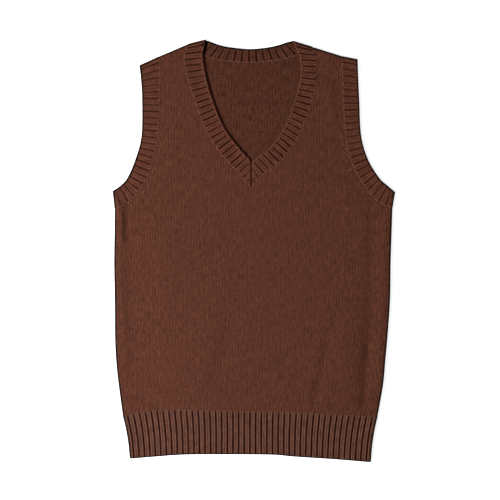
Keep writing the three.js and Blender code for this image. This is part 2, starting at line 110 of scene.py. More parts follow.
# Soft folds of the front: x and y of both ends, width, height (below zero for a trough).
FOLDS = [
    (-188, -243, 178, -249, 11, 1.9),
    (-209, 70, -206, 16, 6.5, 2.9),
    (-198, 66, -199, 20, 4.5, -0.9),
    (-206, 8, -206, -50, 7, 0.8),
    (-206, -52, -199, -180, 7, 1.3),
    (-150, 14, -128, -186, 30, 1.6),
    (-98, -30, -84, -216, 58, 1.5),
    (170, 50, 168, -140, 34, 1.2),
    (206, 46, 196, -206, 9, 1.5),
    (183, 62, 180, -168, 7, -1.1),
    (177, -154, 172, -238, 7, -2.1),
    (151, -118, 153, -234, 22, 2.2),
    (124, -136, 106, -230, 34, 1.6),
    (117, -142, 97, -232, 8, -2.0),
    (-62, -106, -80, -196, 32, 1.5),
    (-35, -120, -60, -198, 12, -1.9),
    (24, -176, 52, -224, 14, 1.2),
    (104, 262, 112, 288, 22, 1.9),
    (95, 282, 128, 271, 8, -2.5),
    (122, 250, 123, 200, 9, 1.2),
    (139, 112, 142, 80, 12, 1.0),
    (-80, 320, -66, 262, 9, 1.7),
    (-66, 262, -18, 158, 8, 0.9),
    (-120, 200, -128, 140, 22, 1.0),
]

BAND_SAMPLES = 400  # points on each edge of a ribbed band
SIDE_SAMPLES = 41  # points on a side fold
HEM_FOLD_SHARES = np.linspace(1, 0.25, 4)  # shares across the hem where its side fold has a point


def smooth(points, shares):
    """Points of a smooth curve at shares of its way: between two given points it is the cubic
    whose slope at each of them is half the step between that point's two neighbours."""
    points = np.asarray(points, float)
    padded = np.vstack([2 * points[0] - points[1], points, 2 * points[-1] - points[-2]])
    steps = np.clip(shares, 0, 1) * (len(points) - 1)
    index = np.minimum(steps.astype(int), len(points) - 2)
    part = (steps - index)[..., None]
    before, start, end, after = (padded[index + k] for k in range(4))
    slope_in, slope_out = (end - before) / 2, (after - start) / 2
    square = 3 * (end - start) - 2 * slope_in - slope_out
    cube = 2 * (start - end) + slope_in + slope_out
    return start + part * (slope_in + part * (square + part * cube))


def lengths_along(points):
    """Length of a row of points from its start to each of them."""
    return np.r_[0, np.cumsum(np.linalg.norm(np.diff(points, axis=0), axis=1))]


class Band:
    """A ribbed strip between two smooth lines, its free edge and its seam. A place on it is a
    length along its middle line and a share of the way across, from the seam to the edge."""

    def __init__(self, rows, draw_in=0.0):
        self.rows = rows
        self.draw_in = draw_in
        self.shares = np.linspace(0, 1, BAND_SAMPLES)
        lines = smooth(rows, self.shares)
        self.edge, self.seam = lines[:, :2], lines[:, 2:]
        self.lengths = lengths_along((self.edge + self.seam) / 2)
        self.length = self.lengths[-1]

    def place(self, along, across):
        """The point at share `across` of the straight line between the two curves, moved in X by
        a parabola across the band that grows from nothing midway to `draw_in` at both ends."""
        lines = smooth(self.rows, np.interp(along, self.lengths, self.shares))
        point = lines[..., 2:] + (lines[..., :2] - lines[..., 2:]) * across[..., None]
        bend = 4 * across * (1 - across) * (1 - 2 * along / self.length)
        point[..., 0] += self.draw_in * bend
        return point


hem = Band(HEM, draw_in=1.9)
left_armband, right_armband = Band(LEFT_ARMBAND), Band(RIGHT_ARMBAND)
left_neck, right_neck = Band(LEFT_NECK), Band(RIGHT_NECK)
back_neck = Band(BACK_NECK)
left_side = smooth(LEFT_SIDE, np.linspace(0, 1, SIDE_SAMPLES))
right_side = smooth(RIGHT_SIDE, np.linspace(0, 1, SIDE_SAMPLES))


def side_fold(side, hem_end, armband):
    """The folded outline up one side, through the hem, the panel and the end of the armband."""
    up_hem = hem.place(np.full(len(HEM_FOLD_SHARES), hem_end), HEM_FOLD_SHARES)
    return np.vstack([up_hem, side, armband.edge[:1]])


def shoulder_fold(armband, neck):
    """The folded outline over one shoulder, from the armhole to the neck."""
    return np.array([armband.edge[-1], armband.seam[-1], neck.seam[-1], neck.edge[-1]])


outline_folds = [
    side_fold(left_side, 0.0, left_armband),
    side_fold(right_side, hem.length, right_armband),
    shoulder_fold(left_armband, left_neck),
    shoulder_fold(right_armband, right_neck),
]


def line_distance(x, y, start, end):
    """Distance of points from a straight line between two places."""
    along = np.subtract(end, start)
    share = ((x - start[0]) * along[0] + (y - start[1]) * along[1]) / (along @ along)
    share = np.clip(share, 0, 1)
    return np.hypot(x - start[0] - share * along[0], y - start[1] - share * along[1])


def from_outline(x, y):
    """Distance of points from the nearest fold of the outline, and the way out of the cloth
    there: square to the nearest stretch of that fold, away from the middle of the vest."""
    distance = np.full(np.shape(x), np.inf)
    way_out = np.zeros((*np.shape(x), 2))
    for fold in outline_folds:
        for start, end in zip(fold[:-1], fold[1:]):
            square = np.array([end[1] - start[1], start[0] - end[0]])
            square *= np.sign(square @ (start + end)) / np.hypot(*square)
            from_line = line_distance(x, y, start, end)
            nearer = from_line < distance
            distance[nearer] = from_line[nearer]
            way_out[nearer] = square
    return distance, way_out


def front_height(x, y, from_fold):
    """Height of the front's face: its level, plus a bell of swelling inside the outline and a
    bell round each soft fold."""
    inwards = np.maximum(from_fold - FOLD_RADIUS, 0) / EDGE_SWELL_WIDTH
    height = FRONT_LEVEL + EDGE_SWELL * np.exp(-inwards**2)
    for x0, y0, x1, y1, width, rise in FOLDS:
        height += rise * np.exp(-(line_distance(x, y, (x0, y0), (x1, y1)) / width) ** 2)
    return height


SLOPE_STEP = 0.5  # distance over which the slope of the front is taken


def on_layer(x, y, layer):
    """Where points of the layout lie on a layer's outer face, the normals of that face, and how
    far it has turned. The back is at zero and the front at its height. Within the fold radius of
    the outline both turn through a quarter circle to meet at mid-height."""
    layer = np.broadcast_to(layer, np.shape(x))
    from_fold, way_out = from_outline(x, y)
    height = front_height(x, y, from_fold)
    along_x = front_height(x + SLOPE_STEP, y, from_fold - SLOPE_STEP * way_out[..., 0])
    along_y = front_height(x, y + SLOPE_STEP, from_fold - SLOPE_STEP * way_out[..., 1])
    slope = np.stack([along_x - height, along_y - height], axis=-1) / SLOPE_STEP
    slope *= (layer == FRONT)[..., None]
    outwards = np.clip(1 - from_fold / FOLD_RADIUS, 0, 1)
    upwards = np.sqrt(1 - outwards**2)
    reach = np.where(layer == FRONT, height - FOLD_RADIUS, FOLD_RADIUS)
    place = np.stack([x, y, FOLD_RADIUS + layer * reach * upwards], axis=-1)
    level = way_out * outwards[..., None] - slope * upwards[..., None]
    normal = np.concatenate([level, (layer * upwards)[..., None]], axis=-1)
    return place, normal / np.linalg.norm(normal, axis=-1, keepdims=True), outwards


def inset(cloth):
    """How far in from a fold a length of cloth reaches: a quarter circle, then straight on."""
    quarter = FOLD_RADIUS * np.pi / 2
    turned = FOLD_RADIUS * (1 - np.cos(np.minimum(cloth, quarter) / FOLD_RADIUS))
    return turned + np.maximum(cloth - quarter, 0)


def wale_x(wale, y):
    """Where a wale, counted from the left fold, crosses the height y: the wales share the cloth
    between the two side folds evenly, with the cloth that each fold takes up."""
    left = np.interp(y, left_side[:, 1], left_side[:, 0])
    right = np.interp(y, right_side[:, 1], right_side[:, 0])
    cloth = right - left + 2 * FOLD_TAKES
    from_left = cloth * wale / WALES
    nearer_left = from_left < cloth / 2
    return np.where(nearer_left, left + inset(from_left), right - inset(cloth - from_left))


WALE_STEPS = 4  # columns of the mesh in each wale
STEEP_STEP = 4.0  # space between columns where the top edge is steep
WALE_DRIFT = 0.003  # wales for each millimetre of edge, which keeps the columns in order
TOP_STEPS = np.array([8, 5, FOLD_RADIUS, 2.2, 1.3, 0.6, 0.15, 0])  # rows below the top edge
FOOT_STEPS = np.array([0, 0.3, 1.0, 2.2, 4.0])  # rows above the hem
EDGE_PULL = 60.0  # how far down a column bends to end on its place on the top edge
LEAST_WALE = 0.6  # width of a wale where the cloth narrows beside the neckband
NARROWS_FROM = 235.0  # height from which it does
WALE_TABLE_STEPS = 8  # entries of a table of places for each wale
ABOVE_SIDES = 400.0  # a height past the side folds, where the wales run straight up
HEM_SEAM_HEIGHT = -258.0  # of the seam between panel and hem at its left end


def panel_grid(top_edge, rows, stride):
    """A grid over a panel's layout. Its columns follow the wales from the hem up to the top edge,
    with more of them where that edge is steep, less the few that keep the number of steps between
    them from being a multiple of `stride`. Returns x, y and the wale of each column."""
    lengths = lengths_along(top_edge)
    table = np.linspace(0, WALES, WALE_TABLE_STEPS * WALES)
    wales = np.interp(top_edge[:, 0], wale_x(table, ABOVE_SIDES), table)
    wales = np.maximum.accumulate(wales) + WALE_DRIFT * lengths
    wales *= WALES / wales[-1]
    on_wales = np.interp(np.arange(WALES * WALE_STEPS + 1) / WALE_STEPS, wales, lengths)
    parts = np.ceil(np.diff(on_wales) / STEEP_STEP).astype(int)
    extra = np.concatenate([
        np.linspace(start, end, count + 1)[1:-1]
        for start, end, count in zip(on_wales[:-1], on_wales[1:], parts)
    ])
    extra = extra[(len(on_wales) + len(extra) - 1) % stride:]
    columns = np.sort(np.r_[on_wales, extra])
    wale = np.interp(columns, lengths, wales)
    top_x = np.interp(columns, lengths, top_edge[:, 0])
    top_y = np.interp(columns, lengths, top_edge[:, 1])
    foot_y = np.interp(wale_x(wale, HEM_SEAM_HEIGHT), hem.seam[:, 0], hem.seam[:, 1])
    height = top_y - foot_y
    shares = np.linspace(0, 1, rows - len(TOP_STEPS) - len(FOOT_STEPS) + 2)[1:-1, None]
    low, high = FOOT_STEPS[-1], height - TOP_STEPS[0]
    from_foot = np.vstack([
        np.broadcast_to(FOOT_STEPS[:, None], (len(FOOT_STEPS), len(wale))),
        low + (high - low) * shares,
        height - TOP_STEPS[:, None],
    ])
    y = foot_y + from_foot
    pull = np.clip(1 - (top_y - y) / EDGE_PULL, 0, 1) ** 2
    x = wale_x(wale, y) + (top_x - wale_x(wale, top_y)) * pull
    return x, y, wale


def beside_neck(x, y, wale):
    """Keeps columns that rise to a shoulder clear of the neckband where it leans over them: a
    wale may be narrowed there, but none crosses the seam."""
    all_wales = np.arange(WALES)
    for band, sign in ((left_neck, 1), (right_neck, -1)):
        seam_x = np.interp(y, band.seam[:, 1], band.seam[:, 0])
        shoulder = np.interp(band.seam[-1, 0], wale_x(all_wales, ABOVE_SIDES), all_wales)
        limit = seam_x + LEAST_WALE * (wale - shoulder)
        on_this_side = sign * (wale - WALES / 2) < 0
        past_limit = (sign * (x - limit) > 0) & (y > NARROWS_FROM)
        x = np.where(on_this_side & past_limit, limit, x)
    return x


def grid_faces(index):
    """The four corners of each face of a grid of vertex numbers."""
    corners = (index[:-1, :-1], index[:-1, 1:], index[1:, 1:], index[1:, :-1])
    return np.stack(corners, axis=-1).reshape(-1, 4)


def wall_faces(outer, inner, stride):
    """Triangles between a fine line of vertices and a line with one vertex to each `stride` of
    them: a fan at each coarse vertex, and one triangle across to the next fan."""
    steps = np.arange(len(outer) - 1)
    fans = np.stack([outer[1:], outer[:-1], inner[steps // stride]], axis=-1)
    across = np.stack([inner[:-1], inner[1:], outer[stride::stride]], axis=-1)
    return np.vstack([fans, across])


EDGE_SHADE_START = 0.02  # share of the turn over an edge where the painted shade of its underside begins
EDGE_SHADE_RISE = 0.26  # share of the turn in which it reaches its full depth


def shell(name, outer, inner, uv, ridge, turned, strides=(1, 1)):
    """A closed wall of cloth between a fine outer grid and an inner one, of which it keeps every
    so many rows and columns. `uv` counts wales and courses, `ridge` is 0 in grooves and 1 on
    ridges, `turned` says how far the cloth has turned over an edge, raised where a strip gets
    more painted shade, and sets the painted shade of turned edges, and the inner face is marked
    as the wrong side of the knit."""
    row_step, column_step = strides
    inner = inner[::row_step, ::column_step]
    index = np.arange(outer[..., 0].size).reshape(outer.shape[:2])
    back = index.size + np.arange(inner[..., 0].size).reshape(inner.shape[:2])
    walls = np.vstack([
        wall_faces(index[0], back[0], column_step),
        wall_faces(index[:, -1], back[:, -1], row_step),
        wall_faces(index[-1, ::-1], back[-1, ::-1], column_step),
        wall_faces(index[::-1, 0], back[::-1, 0], row_step),
    ])
    faces = grid_faces(index)
    quads = np.vstack([faces, grid_faces(back)[:, ::-1]])
    points = np.vstack([outer.reshape(-1, 3), inner.reshape(-1, 3)])
    a, b, c, d = (points[faces[:, k]] for k in range(4))
    area = np.cross(c - a, d - b)
    if (area * (a + b + c + d - 4 * points[back.ravel()].mean(axis=0))).sum() < 0:
        quads, walls = quads[:, ::-1], walls[:, ::-1]
    mesh = bpy.data.meshes.new(name)
    mesh.from_pydata((points * MM).tolist(), [], quads.tolist() + walls.tolist())
    mesh.polygons.foreach_set("use_smooth", np.arange(len(quads) + len(walls)) < len(quads))
    corners = np.empty(len(mesh.loops), int)
    mesh.loops.foreach_get("vertex_index", corners)
    coarse = np.s_[::row_step, ::column_step]
    all_uv = np.vstack([uv.reshape(-1, 2), uv[coarse].reshape(-1, 2)])
    mesh.uv_layers.new(name="stitches").data.foreach_set("uv", all_uv[corners].ravel())
    is_inside = np.arange(len(points)) >= index.size
    all_ridges = np.r_[ridge.ravel(), ridge[coarse].ravel()]
    # Painted shade under turned edges, kept in the attribute that is named turned.
    edge_shade = np.clip((turned - EDGE_SHADE_START) / EDGE_SHADE_RISE, 0, 1)
    all_shades = np.r_[edge_shade.ravel(), edge_shade[coarse].ravel()]
    for label, values in (("ridge", all_ridges), ("inside", is_inside), ("turned", all_shades)):
        attribute = mesh.attributes.new(label, "FLOAT", "POINT")
        attribute.data.foreach_set("value", values.astype(np.float32))
    piece = bpy.data.objects.new(name, mesh)
    bpy.context.collection.objects.link(piece)
    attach(piece, "root")
    return piece


def linear(code):
    """A colour given as sRGB hex, turned to linear light."""
    srgb = np.array([int(code[k:k + 2], 16) for k in (1, 3, 5)]) / 255
    curve = np.where(srgb <= 0.04045, srgb / 12.92, ((srgb + 0.055) / 1.055) ** 2.4)
    return (*curve, 1.0)


def add_node(tree, kind, inputs, **settings):
    """Adds a node with its settings. An input is a value, or another node's output to link."""
    node = tree.nodes.new(kind)
    for name, value in settings.items():
        setattr(node, name, value)
    for name, value in inputs.items():
        if isinstance(value, bpy.types.NodeSocket):
            tree.links.new(value, node.inputs[name])
        else:
            node.inputs[name].default_value = value
    return node


V_RISE = 1.7  # courses that the legs of the V's climb for each wale that they cross
HUMP_BOW = 0.5  # the same for the humps of the wrong side
HAIR = 2 / 3  # size of the tufts of hair, as single hairs are too fine to show
HEATHER = 2.381  # size of the patches that took the dye unevenly
STREAK_WALES, STREAK_COURSES = 1.25, 6.25  # width and length of streaks along the wales
STITCH_TONE = 0.45  # share of a yarn's tone that is taken away as painted shade in the crevices of its stitches
HEATHER_TONE = 1.5  # how much lighter or darker the patches are, as a share of the colour
STREAK_TONE = 1.3  # the same of the streaks
INSIDE_DULL_AND_SHADE = 0.2  # how much darker the wrong side of the knit is made, partly for its duller face and partly as painted shade on the inside
EDGE_PAINTED_SHADE = 0.9  # how much darker the yarn is painted where an edge turns under: painted shade of the turn
STITCH_DEPTH = 0.35  # depth of the crevices between stitches
HAIR_DEPTH = 0.35  # the same of the hairs, as a share of it


def knitted(name, yarn, shade, glint):
    """Woollen yarn knitted in plain stitches, as a material. It gives the eye rows of small V's on
    the right side and rows of low humps on the wrong side, a matt hairy surface, painted shade in
    the crevices between the yarns and a faint heather where the wool took the dye unevenly."""
    material = bpy.data.materials.new(name)
    material.use_nodes = True
    tree = material.node_tree
    tree.nodes.clear()

    def maths(operation, *values):
        inputs = dict(enumerate(values))
        return add_node(tree, "ShaderNodeMath", inputs, operation=operation).outputs[0]

    uv = add_node(tree, "ShaderNodeUVMap", {}, uv_map="stitches").outputs[0]
    wale, course, _ = add_node(tree, "ShaderNodeSeparateXYZ", {0: uv}).outputs
    inside = add_node(tree, "ShaderNodeAttribute", {}, attribute_name="inside").outputs["Fac"]
    ridge = add_node(tree, "ShaderNodeAttribute", {}, attribute_name="ridge").outputs["Fac"]
    turned = add_node(tree, "ShaderNodeAttribute", {}, attribute_name="turned").outputs["Fac"]

    from_middle = maths("ABSOLUTE", maths("SUBTRACT", maths("FRACT", wale), 0.5))
    slanted = maths("SUBTRACT", course, maths("MULTIPLY", from_middle, V_RISE))
    leg = maths("SINE", maths("MULTIPLY", maths("FRACT", slanted), np.pi))
    two_legs = maths("ABSOLUTE", maths("SINE", maths("MULTIPLY", wale, 2 * np.pi)))
    face_stitch = maths("MULTIPLY", maths("SQRT", leg), maths("SQRT", two_legs))
    bowed = maths("ADD", course, maths("MULTIPLY", from_middle, HUMP_BOW))
    hump = maths("ABSOLUTE", maths("SINE", maths("MULTIPLY", bowed, np.pi)))
    stitch_mix = {"Factor": inside, "A": face_stitch, "B": hump}
    stitch = add_node(tree, "ShaderNodeMix", stitch_mix).outputs[0]

    place = add_node(tree, "ShaderNodeTexCoord", {}).outputs["Object"]
    hair_inputs = {"Vector": place, "Scale": 1 / (HAIR * MM), "Detail": 2.0}
    hair = add_node(tree, "ShaderNodeTexNoise", hair_inputs).outputs["Fac"]
    heather_inputs = {"Vector": place, "Scale": 1 / (HEATHER * MM), "Detail": 3.0, "Roughness": 0.7}
    heather = add_node(tree, "ShaderNodeTexNoise", heather_inputs).outputs["Fac"]
    streak_scale = {"Vector": uv, "Scale": (1 / STREAK_WALES, 1 / STREAK_COURSES, 1.0)}
    streak_uv = add_node(tree, "ShaderNodeMapping", streak_scale).outputs[0]
    streak_inputs = {"Vector": streak_uv, "Scale": 1.0, "Detail": 2.0, "Roughness": 0.6}
    streak = add_node(tree, "ShaderNodeTexNoise", streak_inputs).outputs["Fac"]

    # Painted shade: the colour falls towards the shade colour in the crevices of the stitches and
    # in the grooves.
    on_yarn = maths("MULTIPLY_ADD", stitch, STITCH_TONE, 1 - STITCH_TONE)
    raised = maths("MULTIPLY", ridge, on_yarn)
    tint_inputs = {"Factor": raised, "A": linear(shade), "B": linear(yarn)}
    tint = add_node(tree, "ShaderNodeMix", tint_inputs, data_type="RGBA").outputs[2]
    uneven = maths("MULTIPLY_ADD", maths("SUBTRACT", heather, 0.5), HEATHER_TONE, 1.0)
    uneven = maths("MULTIPLY_ADD", maths("SUBTRACT", streak, 0.5), STREAK_TONE, uneven)
    # The wrong side is darkened, partly for its duller face and partly as painted shade.
    uneven = maths("MULTIPLY_ADD", inside, -INSIDE_DULL_AND_SHADE, uneven)
    # Painted shade under turned edges, along free edges and in the gap at the left shoulder.
    uneven = maths("MULTIPLY_ADD", turned, -EDGE_PAINTED_SHADE, uneven)
    scaled = add_node(tree, "ShaderNodeVectorMath", {0: tint, 1: uneven}, operation="MULTIPLY")

    fibres = maths("MULTIPLY_ADD", hair, HAIR_DEPTH, stitch)
    bump_inputs = {"Height": fibres, "Strength": 0.8, "Distance": STITCH_DEPTH * MM}
    bump = add_node(tree, "ShaderNodeBump", bump_inputs).outputs[0]
    wool = {
        "Base Color": scaled.outputs[0], "Roughness": 0.95, "IOR": 1.54,
        "Specular IOR Level": 0.05, "Sheen Weight": 0.05, "Sheen Roughness": 0.55,
        "Sheen Tint": linear(glint), "Normal": bump,
    }
    shader = add_node(tree, "ShaderNodeBsdfPrincipled", wool)
    add_node(tree, "ShaderNodeOutputMaterial", {"Surface": shader.outputs[0]})
    return material


# Brown wool in plain knit: an even matt brown, with painted shade in the crevices between its
# stitches.
wool_jersey = knitted("woollen_plain_knit", yarn="#683d2c", shade="#391d14", glint="#b98a76")

WALE_RELIEF = 0.4  # how far a wale stands above the furrows beside it
UNDER_RELIEF = 0.25  # the same on the face that is pressed flat by the surface
WALE_FULLNESS = 0.8  # power of the sine wave across a wale


def wale_profile(wale):
    """Height of plain knit across its wales, from 0 in a furrow to 1 along the middle: half a
    sine wave to a wale, made a little fuller by a power below one."""
    return np.abs(np.sin(np.pi * wale)) ** WALE_FULLNESS


def panel(name, top_edge, layer, rows, strides):
    """A panel of plain knit: a grid laid on its layer, with its wales raised on the outer face,
    and on the inner face too where that one shows."""
    x, y, wale = panel_grid(top_edge, rows, strides[1])
    if layer == FRONT:
        x = beside_neck(x, y, wale)
    base, normal, turned = on_layer(x, y, layer)
    profile = np.broadcast_to(wale_profile(wale), x.shape)
    if layer == FRONT:
        outer = base + normal * (profile * WALE_RELIEF)[..., None]
        inner = base - normal * CLOTH
    else:
        outer = base + normal * ((profile - 1) * UNDER_RELIEF)[..., None]
        inner = base - normal * (CLOTH - WALE_RELIEF * profile)[..., None]
    uv = np.stack([np.broadcast_to(wale, x.shape), y / COURSE], axis=-1)
    piece = shell(name, outer, inner, uv, profile, turned, strides)
    piece.data.materials.append(wool_jersey)
    return piece


back_top = np.vstack([left_armband.seam, back_neck.seam, right_armband.seam[::-1]])
back_panel = panel("back_panel_knit", back_top, BACK, rows=63, strides=(1, 1))
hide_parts("back_panel")


# Front panel
# The front is knitted like the back and cut down to the point of the V. It lies on the back,
# smooth face up, in soft folds, and hangs a little over the ribbing below it.

front_top = np.vstack([
    left_armband.seam, left_neck.seam[::-1], right_neck.seam[1:], right_armband.seam[::-1],
])
front_panel = panel("front_panel_knit", front_top, FRONT, rows=111, strides=(5, 8))
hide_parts("front_panel")


# Hem
# The hems of front and back are ribbed, two plain wales to each rib and one that sinks back
# between ribs. They are knitted in one with the panels and drawn together a little at the sides.

HEM_RIBS = 44
RIB_HEIGHT = 1.1  # how far a rib stands above its grooves
RIB_WALL = 1.9  # cloth under the grooves
RIB_WALES = [(0, -0.5), (0.12, 0), (0.5, 1), (0.88, 2), (1, 2.5)]  # phase and wale
GROOVE_FLOOR = 0.09  # share of a rib's width from the middle of a groove to where it rises
GROOVE_SIDE = 0.11  # share of it that the side of the rib takes up
FURROW_DEPTH = 0.5  # how deep the furrow between a rib's two wales is, as a share of its height
FURROW_WIDTH = 0.1  # how far it reaches, as a share of the rib's width

# Shares of a rib's width at which it has a line of mesh, closer on its sides.
RIB_PHASES = np.array([
    0, 0.07, 0.12, 0.17, 0.25, 0.33, 0.42, 0.5, 0.58, 0.67, 0.75, 0.83, 0.88, 0.93,
])

# The same wool ribbed: its ribs look a little paler than plain knit, and its grooves get nearly
# black painted shade.
hem_wool = knitted("woollen_hem_ribbing", yarn="#6d493a", shade="#240300", glint="#b98a76")


def rib_run(band, ribs, fold_start, fold_end):
    """Lines across a band that show its ribs: for each the length along the band, and the rib
    with its phase as a fraction. The ribs share the cloth, so they bunch up in a fold."""
    cloth = band.length + (fold_start + fold_end) * FOLD_TAKES
    rib = np.r_[(np.arange(ribs)[:, None] + RIB_PHASES).ravel(), ribs]
    length = rib * cloth / ribs
    from_start = inset(length) if fold_start else length
    from_end = inset(cloth - length) if fold_end else cloth - length
    along = np.where(length < cloth / 2, from_start, band.length - from_end)
    return along, rib


def rib_ridge(rib):
    """0 in the groove between two ribs, rising by a smooth step to 1 on the rib, less a bell for
    the furrow between the rib's two wales."""
    phase = rib % 1
    from_groove = np.minimum(phase, 1 - phase)
    rise = np.clip((from_groove - GROOVE_FLOOR) / GROOVE_SIDE, 0, 1)
    furrow = FURROW_DEPTH * np.exp(-((phase - 0.5) / FURROW_WIDTH) ** 2)
    return rise * rise * (3 - 2 * rise) - furrow


def rib_wale(rib):
    """Counts stitches along a band, three to a rib, so that each wale fills its part of the rib."""
    phases, wales = zip(*RIB_WALES)
    return 3 * np.floor(rib) + np.interp(rib % 1, phases, wales)


STITCH_RELIEF = 0.13  # how far each V of a wale stands up


def stitch_waves(wale, course):
    """A wave along each wale, one to a course, that runs up both sides of the wale in a V."""
    from_middle = np.abs(wale % 1 - 0.5)
    return np.cos(2 * np.pi * (course - V_RISE * from_middle))


EDGE_ROLL = 1.3  # radius of the cast-off edge
EDGE_DARK_REACH = 3.4  # how far in from that edge its painted shade begins
EDGE_STEPS = [0, 0.06, 0.2, 0.45, 0.8, 1.3]  # distances from the edge of its lines of mesh
SEAM_STEPS = [0, 0.25, 0.7]  # the same from the seam
INSIDE_RELIEF = 0.8  # share of a rib's height that shows on the inner face
TURN_BLEND = 3.0  # height of the turn over which the relief passes from one face to the other
GROUND_REACH = 1.3  # height above the surface where cloth is no longer pressed flat by it
INNER_STRIDES = (4, 7)  # rows and columns of the outer face to each one of a plain inner face


def cross_steps(width, to_a_course, multiple):
    """Shares across a band for its mesh: so many steps to a course, and finer ones at both edges,
    less the few that keep the number of steps from being a multiple of `multiple`."""
    step = COURSE / to_a_course
    courses = np.arange(SEAM_STEPS[-1] + step, width - EDGE_STEPS[-1], step)
    steps = np.r_[SEAM_STEPS, courses, width - np.array(EDGE_STEPS)[::-1]] / width
    first = len(SEAM_STEPS)
    return np.delete(steps, slice(first, first + (len(steps) - 1) % multiple))


def ground_share(base):
    """1 where a face lies on the surface, and 0 from a little way up the turn."""
    return np.clip(GROUND_REACH - base[..., 2], 0, 1)


def ribbed_strip(
    name, yarn, place, layers, rib, across, width, grooves, edge_dark, strides, hollow=0,
):
    """A strip of ribbing. `place` holds the layout points of its grid, `across` their shares of
    the width from seam to free edge, and `grooves` how deep its grooves are and how much of all
    ridges is left, both from 0 to 1. Ribs stand up on the outer face, sink into a flat one that
    lies on the surface, and show on the inner face of a strip whose inside is seen, which has no
    coarser grid there. The free edge is rounded through a quarter circle. `edge_dark` says how
    much painted shade that edge gets, and `hollow` where a gap gets painted shade."""
    base, normal, turned = on_layer(place[..., 0], place[..., 1], layers)
    depth, left = grooves
    ridge = (1 - (1 - rib_ridge(rib)) * depth) * left
    inside_ribs = strides == (1, 1)
    wale = rib_wale(rib)
    course = across * width / COURSE
    waves = STITCH_RELIEF * stitch_waves(wale, course) * ridge
    to_edge = (1 - across) * width
    rolled = np.clip(1 - to_edge / EDGE_ROLL, 0, 1)
    drop = EDGE_ROLL * (1 - np.sqrt(1 - rolled**2))
    near_edge = np.clip(1 - to_edge / EDGE_DARK_REACH, 0, 1)
    lies_flat = np.clip(0.5 + (FOLD_RADIUS - base[..., 2]) / TURN_BLEND, 0, 1) * (layers == BACK)
    raised = ridge * RIB_HEIGHT + waves
    sunk = (ridge - 1) * RIB_HEIGHT + waves - STITCH_RELIEF
    relief = raised + (sunk - raised) * lies_flat * ground_share(base)
    outer = base + normal * (relief - drop)[..., None]
    wall = RIB_WALL + inside_ribs * (ridge * RIB_HEIGHT * INSIDE_RELIEF + waves) * lies_flat
    inner = base - normal * wall[..., None]
    uv = np.stack([wale, course], axis=-1)
    # Painted shade under a turned edge, along a dark free edge and in the gap at the left shoulder.
    dark = np.maximum(np.maximum(turned, near_edge * edge_dark), hollow)
    piece = shell(name, outer, inner, uv, ridge, dark, strides)
    piece.data.materials.append(yarn)
    return piece


HEM_WIDTH = 68.0
HEM_ONSET = 2.2  # distance below the panel in which the grooves reach their depth
HEM_ONSET_DEPTH = 0.5  # share of it that they have at the panel
BACK_HEM_SHOWS = 1.8  # how far the back hem reaches below the front one
FRONT_HEM_DARK = 0.1  # how much of the painted shade of a free edge the front one has

hem_along, hem_rib = rib_run(hem, HEM_RIBS, True, True)
for name, layer, to_a_course in (("front_hem_rib", FRONT, 3), ("back_hem_rib", BACK, 2)):
    hem_across = cross_steps(HEM_WIDTH, to_a_course, INNER_STRIDES[0])
    across_grid, along_grid = np.meshgrid(hem_across, hem_along, indexing="ij")
    depth = 1 - (1 - HEM_ONSET_DEPTH) * np.exp(-((across_grid * HEM_WIDTH / HEM_ONSET) ** 2))
    reach = 1 + (layer == BACK) * BACK_HEM_SHOWS / HEM_WIDTH
    hem_piece = ribbed_strip(
        name + "_knit", hem_wool, hem.place(along_grid, across_grid * reach),
        np.full(across_grid.shape, layer), np.broadcast_to(hem_rib, across_grid.shape),
        across_grid, HEM_WIDTH, (depth, 1), FRONT_HEM_DARK if layer == FRONT else 1,
        INNER_STRIDES,
    )
    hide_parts(name)


# Neckband
# One strip of ribbing is linked round the neck, from the mitre at the point of the V, up over
# one shoulder, round the back with its inside up, and down the other side to the mitre again.
# At the shoulder on the left it gapes a little where it folds over to the back, and the gap gets
# painted shade.

CENTRE_X = -4.2
NECK_SIDE_RIBS = 26
NECK_BACK_RIBS = 16
NECK_WIDTH = 26.0
MITRE_START = 0.6  # length of band left at the very point
MITRE_GROOVE = 1.3  # half the width of the groove along the mitre
EDGE_STRIP = 2.0  # smooth strip along the free edge of a band
MITRE_CALM = 7.0  # how far from the mitre the band's grooves stay shallow
MITRE_SHALLOWER = 0.6  # share of their depth that they lose there
HOLLOW_FROM = 299.0  # height from which the band gets painted shade of the gap beside its fold on the left
HOLLOW_HALF = (1.0, 5.5)  # half the width of that painted shade there and at the shoulder

GROOVES_UNEVEN = 0.3  # share by which the deepest and the shallowest grooves differ
UNEVEN_WAVES = (2.3, 0.7)  # radians from rib to rib of the two waves in that
SHALLOWER_AT_EDGE = 0.12  # share of their depth that grooves lose from seam to edge

# The same wool in narrower ribbing: brown ribs with nearly black painted shade in the grooves
# between them.
band_wool = knitted("woollen_band_ribbing", yarn="#663c2c", shade="#220804", glint="#b98a76")


def groove_share(across, width, rib):
    """How deep the grooves of a band are: whole at its seam, a little less deep towards the free
    edge, a bell shallower still along that edge, and uneven from rib to rib by two sine waves."""
    to_edge = (1 - across) * width
    waves = sum(np.sin(wave * rib) for wave in UNEVEN_WAVES)
    uneven = 1 - GROOVES_UNEVEN * (0.5 + 0.25 * waves)
    bell = np.exp(-((to_edge / EDGE_STRIP) ** 2))
    return uneven * (1 - SHALLOWER_AT_EDGE * across - (1 - SHALLOWER_AT_EDGE) * bell)


def mitred(band, along, side):
    """Share of each line that the mitre on the centre line leaves of it."""
    none, whole = np.zeros(len(along)), np.ones(len(along))
    seam, edge = band.place(along, none)[:, 0], band.place(along, whole)[:, 0]
    past = side * (edge - CENTRE_X) < 0
    return np.where(past, (CENTRE_X - seam) / np.where(past, edge - seam, 1), 1)


